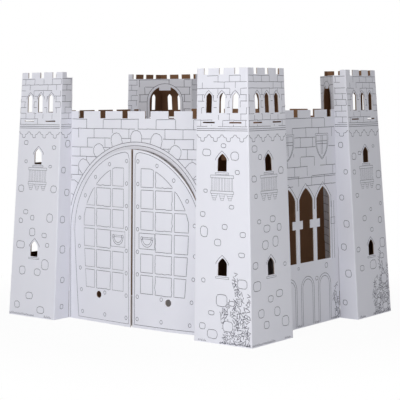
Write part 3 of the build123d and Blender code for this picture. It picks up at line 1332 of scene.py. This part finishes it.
def tower_sides(castle: Castle) -> Callable[[Graph], tuple[Wire, Wire]]:
    """Masks of a tower's two sides, from the depth below its outer planes.

    Args:
        castle: The castle's planes.

    Returns:
        A rule that adds the masks to a graph.
    """
    def masks(graph: Graph) -> tuple[Wire, Wire]:
        """Masks of the printed and of the bare side."""
        x, y, z = graph.parts(graph.place())
        reach_x, reach_y = abs(x), abs(y)
        level = z * (1.0 / castle.height)
        out_x = reach_x + level * castle.flare - castle.foot_x
        out_y = reach_y + level * castle.flare - castle.foot_y
        fold_x = castle.foot_x - castle.face_foot
        fold_y = castle.foot_y - castle.face_foot
        narrow = castle.face_foot - castle.face_top - castle.flare
        in_x = (fold_x + level * narrow) - reach_x
        in_y = (fold_y + level * narrow) - reach_y
        joint = castle.foot_x + castle.foot_y - castle.face_foot - castle.strip_foot
        slant = narrow + castle.strip_foot - castle.strip_top - castle.flare
        diagonal = ((joint + level * slant) - reach_x - reach_y) * (1.0 / math.sqrt(2.0))
        depth = out_x.highest(out_y).highest(in_x).highest(in_y).highest(diagonal)
        upright = 1.0 - abs(graph.parts(graph.normal())[2]).over(0.5, 0.1)
        folds = (out_x + out_y).highest(out_y + in_x).highest(out_x + in_y)
        rounding = folds.over(-1.25 * castle.board, 0.0004)
        outside = depth.over(-0.0007, 0.0004).highest(upright * rounding)
        inside = 1.0 - depth.over(-castle.board + 0.0008, 0.0004)
        return outside, inside

    return masks


def wall_sides(along_x: bool, sign: int) -> Callable[[Graph], tuple[Wire, Wire]]:
    """Masks of a wall's two sides, from the way its surface faces.

    Args:
        along_x: Whether the wall runs along X.
        sign: Side of the yard that it stands on.

    Returns:
        A rule that adds the masks to a graph.
    """
    def masks(graph: Graph) -> tuple[Wire, Wire]:
        """Masks of the printed and of the bare side."""
        normal = graph.parts(graph.normal())
        facing = normal[1 if along_x else 0] * float(sign)
        return facing.over(0.6, 0.1), 1.0 - facing.over(-0.6, 0.1)

    return masks


@dataclass(frozen=True)
class Ink:
    """Thin dark line of the print."""

    colour: Colour = (0.060, 0.060, 0.085, 1.0)
    faded: Colour = (0.170, 0.170, 0.210, 1.0)

    def material(self) -> bpy.types.Material:
        """Ink that fades a little from place to place."""
        graph = Graph.of_material("line_ink")
        share = graph.noise(24.0, 2.0) * 1.3 - 0.2
        tooth = graph.noise(700.0, 2.0)
        return graph.finish(graph.mix(share, self.colour, self.faded), 0.62 + tooth * 0.1, tooth, 0.00005)


@dataclass(frozen=True)
class Lamp:
    """Soft square lamp: its place, what it points at, its side and its watts."""

    name: str
    place: tuple[float, float, float]
    aim: tuple[float, float, float]
    size: float
    power: float

    def hang(self) -> None:
        """Adds the lamp to the scene."""
        data = bpy.data.lights.new(self.name, "AREA")
        data.size = self.size
        data.energy = self.power
        lamp = bpy.data.objects.new(self.name, data)
        lamp.visible_camera = False
        lamp.location = self.place
        lamp.rotation_euler = (Vector(self.aim) - Vector(self.place)).to_track_quat("-Z", "Y").to_euler()
        bpy.context.collection.objects.link(lamp)


@dataclass(frozen=True)
class Studio:
    """Pale floor, soft lamps and the camera."""

    floor_white: float = 0.86
    eye: tuple[float, float, float] = (3.7325, -4.7173, 1.0322)
    yaw: float = 0.6688
    pitch: float = -0.0815
    roll: float = -0.0073
    lens: float = 113.9
    sensor: float = 36.0
    ambient: float = 0.36
    yard: tuple[float, float] = (0.612, 0.462)
    lamps: tuple[Lamp, ...] = (
        Lamp("key_lamp", (1.0, -4.4, 1.9), (0.2, 0.0, 0.5), 2.0, 84.0),
        Lamp("fill_lamp", (2.6, -1.5, 1.2), (0.6, -0.2, 0.5), 1.0, 10.0),
        Lamp("rear_lamp", (-3.0, 4.0, 2.2), (-0.1, 0.1, 0.5), 2.2, 40.0),
    )

    def floor(self) -> None:
        """Floor that shows white to the eye and keeps the castle's shadow."""
        bpy.ops.mesh.primitive_plane_add(size=60.0, location=(0.0, 0.0, 0.0))
        floor = bpy.context.object
        floor.name = "studio_floor"
        graph = Graph.of_material("floor_white")
        seen = graph.rays("Is Camera Ray", "Is Glossy Ray", "Is Transmission Ray")
        x, y, _ = graph.parts(graph.place())
        away = (x * x + y * y).math("SQRT").over(1.35, 0.7)
        yard = (1.0 - abs(x).over(self.yard[0], 0.02)) * (1.0 - abs(y).over(self.yard[1], 0.02))
        share = (away * 0.05 + 0.95) * (1.0 - yard)
        matt = graph.node("ShaderNodeBsdfDiffuse", None, {"Color": (self.floor_white,) * 3 + (1.0,)})
        glow = graph.node("ShaderNodeEmission", None, {"Color": (1.0, 1.0, 1.0, 1.0), "Strength": 1.0})
        mixed = graph.node("ShaderNodeMixShader", None, {0: seen * share, 1: matt, 2: glow})
        graph.node("ShaderNodeOutputMaterial", None, {"Surface": mixed})
        floor.data.materials.append(graph.owner)

    def world(self) -> None:
        """White surroundings; the eye sees them at full white."""
        graph = Graph(bpy.data.worlds.new("studio_air"))
        seen = graph.rays("Is Camera Ray", "Is Transmission Ray")
        strength = seen * (1.0 - self.ambient) + self.ambient
        sky = graph.node("ShaderNodeBackground", None, {"Color": (1.0, 1.0, 1.0, 1.0), "Strength": strength})
        graph.node("ShaderNodeOutputWorld", None, {"Surface": sky})
        bpy.context.scene.world = graph.owner

    def camera(self) -> None:
        """Camera at the viewing place."""
        data = bpy.data.cameras.new("view")
        data.lens = self.lens
        data.sensor_width = self.sensor
        camera = bpy.data.objects.new("view", data)
        reach = math.cos(self.pitch)
        forward = Vector((-math.sin(self.yaw) * reach, math.cos(self.yaw) * reach, math.sin(self.pitch)))
        level = Vector((math.cos(self.yaw), math.sin(self.yaw), 0.0))
        upright = level.cross(forward)
        right = level * math.cos(self.roll) + upright * math.sin(self.roll)
        above = upright * math.cos(self.roll) - level * math.sin(self.roll)
        camera.matrix_world = matrix_from(right, above, -forward, Vector(self.eye))
        bpy.context.collection.objects.link(camera)
        bpy.context.scene.camera = camera

    def build(self) -> None:
        """Sets up the whole studio."""
        self.floor()
        self.world()
        for lamp in self.lamps:
            lamp.hang()
        self.camera()
        bpy.context.scene.view_settings.view_transform = "Standard"


def matrix_from(right: Vector, above: Vector, back: Vector, place: Vector) -> Matrix:
    """Matrix with the given axes and place."""
    rows = [[right[row], above[row], back[row], place[row]] for row in range(3)]
    return Matrix([*rows, [0.0, 0.0, 0.0, 1.0]])


# --------------------------------------------------------------------------- assembly


def join_print(name: str, meshes: Sequence[bpy.types.Mesh | None],
               ink: bpy.types.Material) -> bpy.types.Object:
    """Joins the ribbons of one sheet into one piece that rides on the body.

    Args:
        name: Name of the piece.
        meshes: The ribbons of each panel.
        ink: The ink.

    Returns:
        The piece.
    """
    bpy.ops.object.select_all(action="DESELECT")
    pieces = []
    for mesh in meshes:
        if mesh is None:
            continue
        piece = bpy.data.objects.new(name, mesh)
        bpy.context.collection.objects.link(piece)
        piece.select_set(True)
        pieces.append(piece)
    bpy.context.view_layer.objects.active = pieces[0]
    if len(pieces) > 1:
        bpy.ops.object.join()
    piece = bpy.context.view_layer.objects.active
    piece.name = name
    piece.data.materials.clear()
    piece.data.materials.append(ink)
    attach(piece, BODY)
    return piece


def dress(node: bpy.types.Object, material: bpy.types.Material) -> None:
    """Gives a packed sheet its finish."""
    node.data.materials.clear()
    node.data.materials.append(material)


def main() -> None:
    """Builds the prints, finishes and studio in order."""
    logging.basicConfig(level=logging.INFO, format="%(name)s: %(message)s")
    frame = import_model()
    castle = Castle.from_frame()
    nodes = frame["nodes"]
    board = Board()
    tower_board = board.material("tower_board", tower_sides(castle))
    ink = Ink().material()

    parts = [
        Tower(castle, "front_right_tower", 1, -1, 11, long=Growth.IVY),
        Tower(castle, "front_left_tower", -1, -1, 12, side=Growth.IVY),
        Tower(castle, "back_right_tower", 1, 1, 13, side=Growth.IVY),
        Tower(castle, "back_left_tower", -1, 1, 14, long=Growth.IVY),
        FrontWall(castle, "front_wall", True, -1, 21),
        SideWall(castle, "right_wall", False, 1, 31),
        SideWall(castle, "left_wall", False, -1, 41),
        PlainWall(castle, "back_wall", True, 1, 51),
    ]
    for part in parts:
        if isinstance(part, Tower):
            dress(nodes[part.name], tower_board)
        else:
            sides = wall_sides(part.along_x, part.sign)
            dress(nodes[part.name], board.material(f"{part.name}_board", sides))
        piece = join_print(f"{part.name}_print", part.build(), ink)
        LOG.info("%s: %d faces of print", part.name, len(piece.data.polygons))

    Studio().build()


if __name__ == "__main__":
    main()
